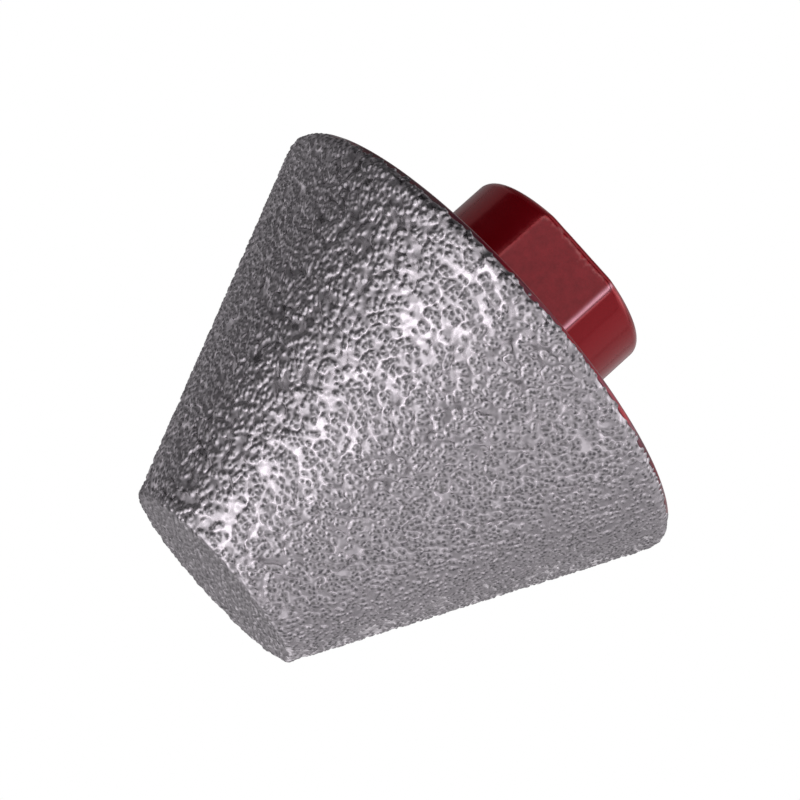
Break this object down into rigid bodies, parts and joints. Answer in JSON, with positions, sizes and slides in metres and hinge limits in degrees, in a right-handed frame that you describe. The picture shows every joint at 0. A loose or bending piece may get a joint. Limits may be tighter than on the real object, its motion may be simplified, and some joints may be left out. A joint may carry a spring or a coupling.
{
  "type": "conical diamond milling bit",
  "caption": "Solid steel cone with a brazed diamond grit surface and a short painted hub, screwed onto a grinder's spindle to bevel, widen and deburr holes in tile and stone.",
  "frame": {"origin": "centre of the hub's flat end face, which the bit stands on", "axes": "+Z along the axis of rotation towards the nose; the two wrench flats face -Y and +Y"},
  "size_m": [0.048, 0.048, 0.0423],
  "materials": {
    "red_paint": "gloss",
    "brazed_grit": "satin"
  },
  "bodies": {
    "root": {"steel_body": "red_paint", "diamond_coating": "brazed_grit"}
  },
  "joints": []
}
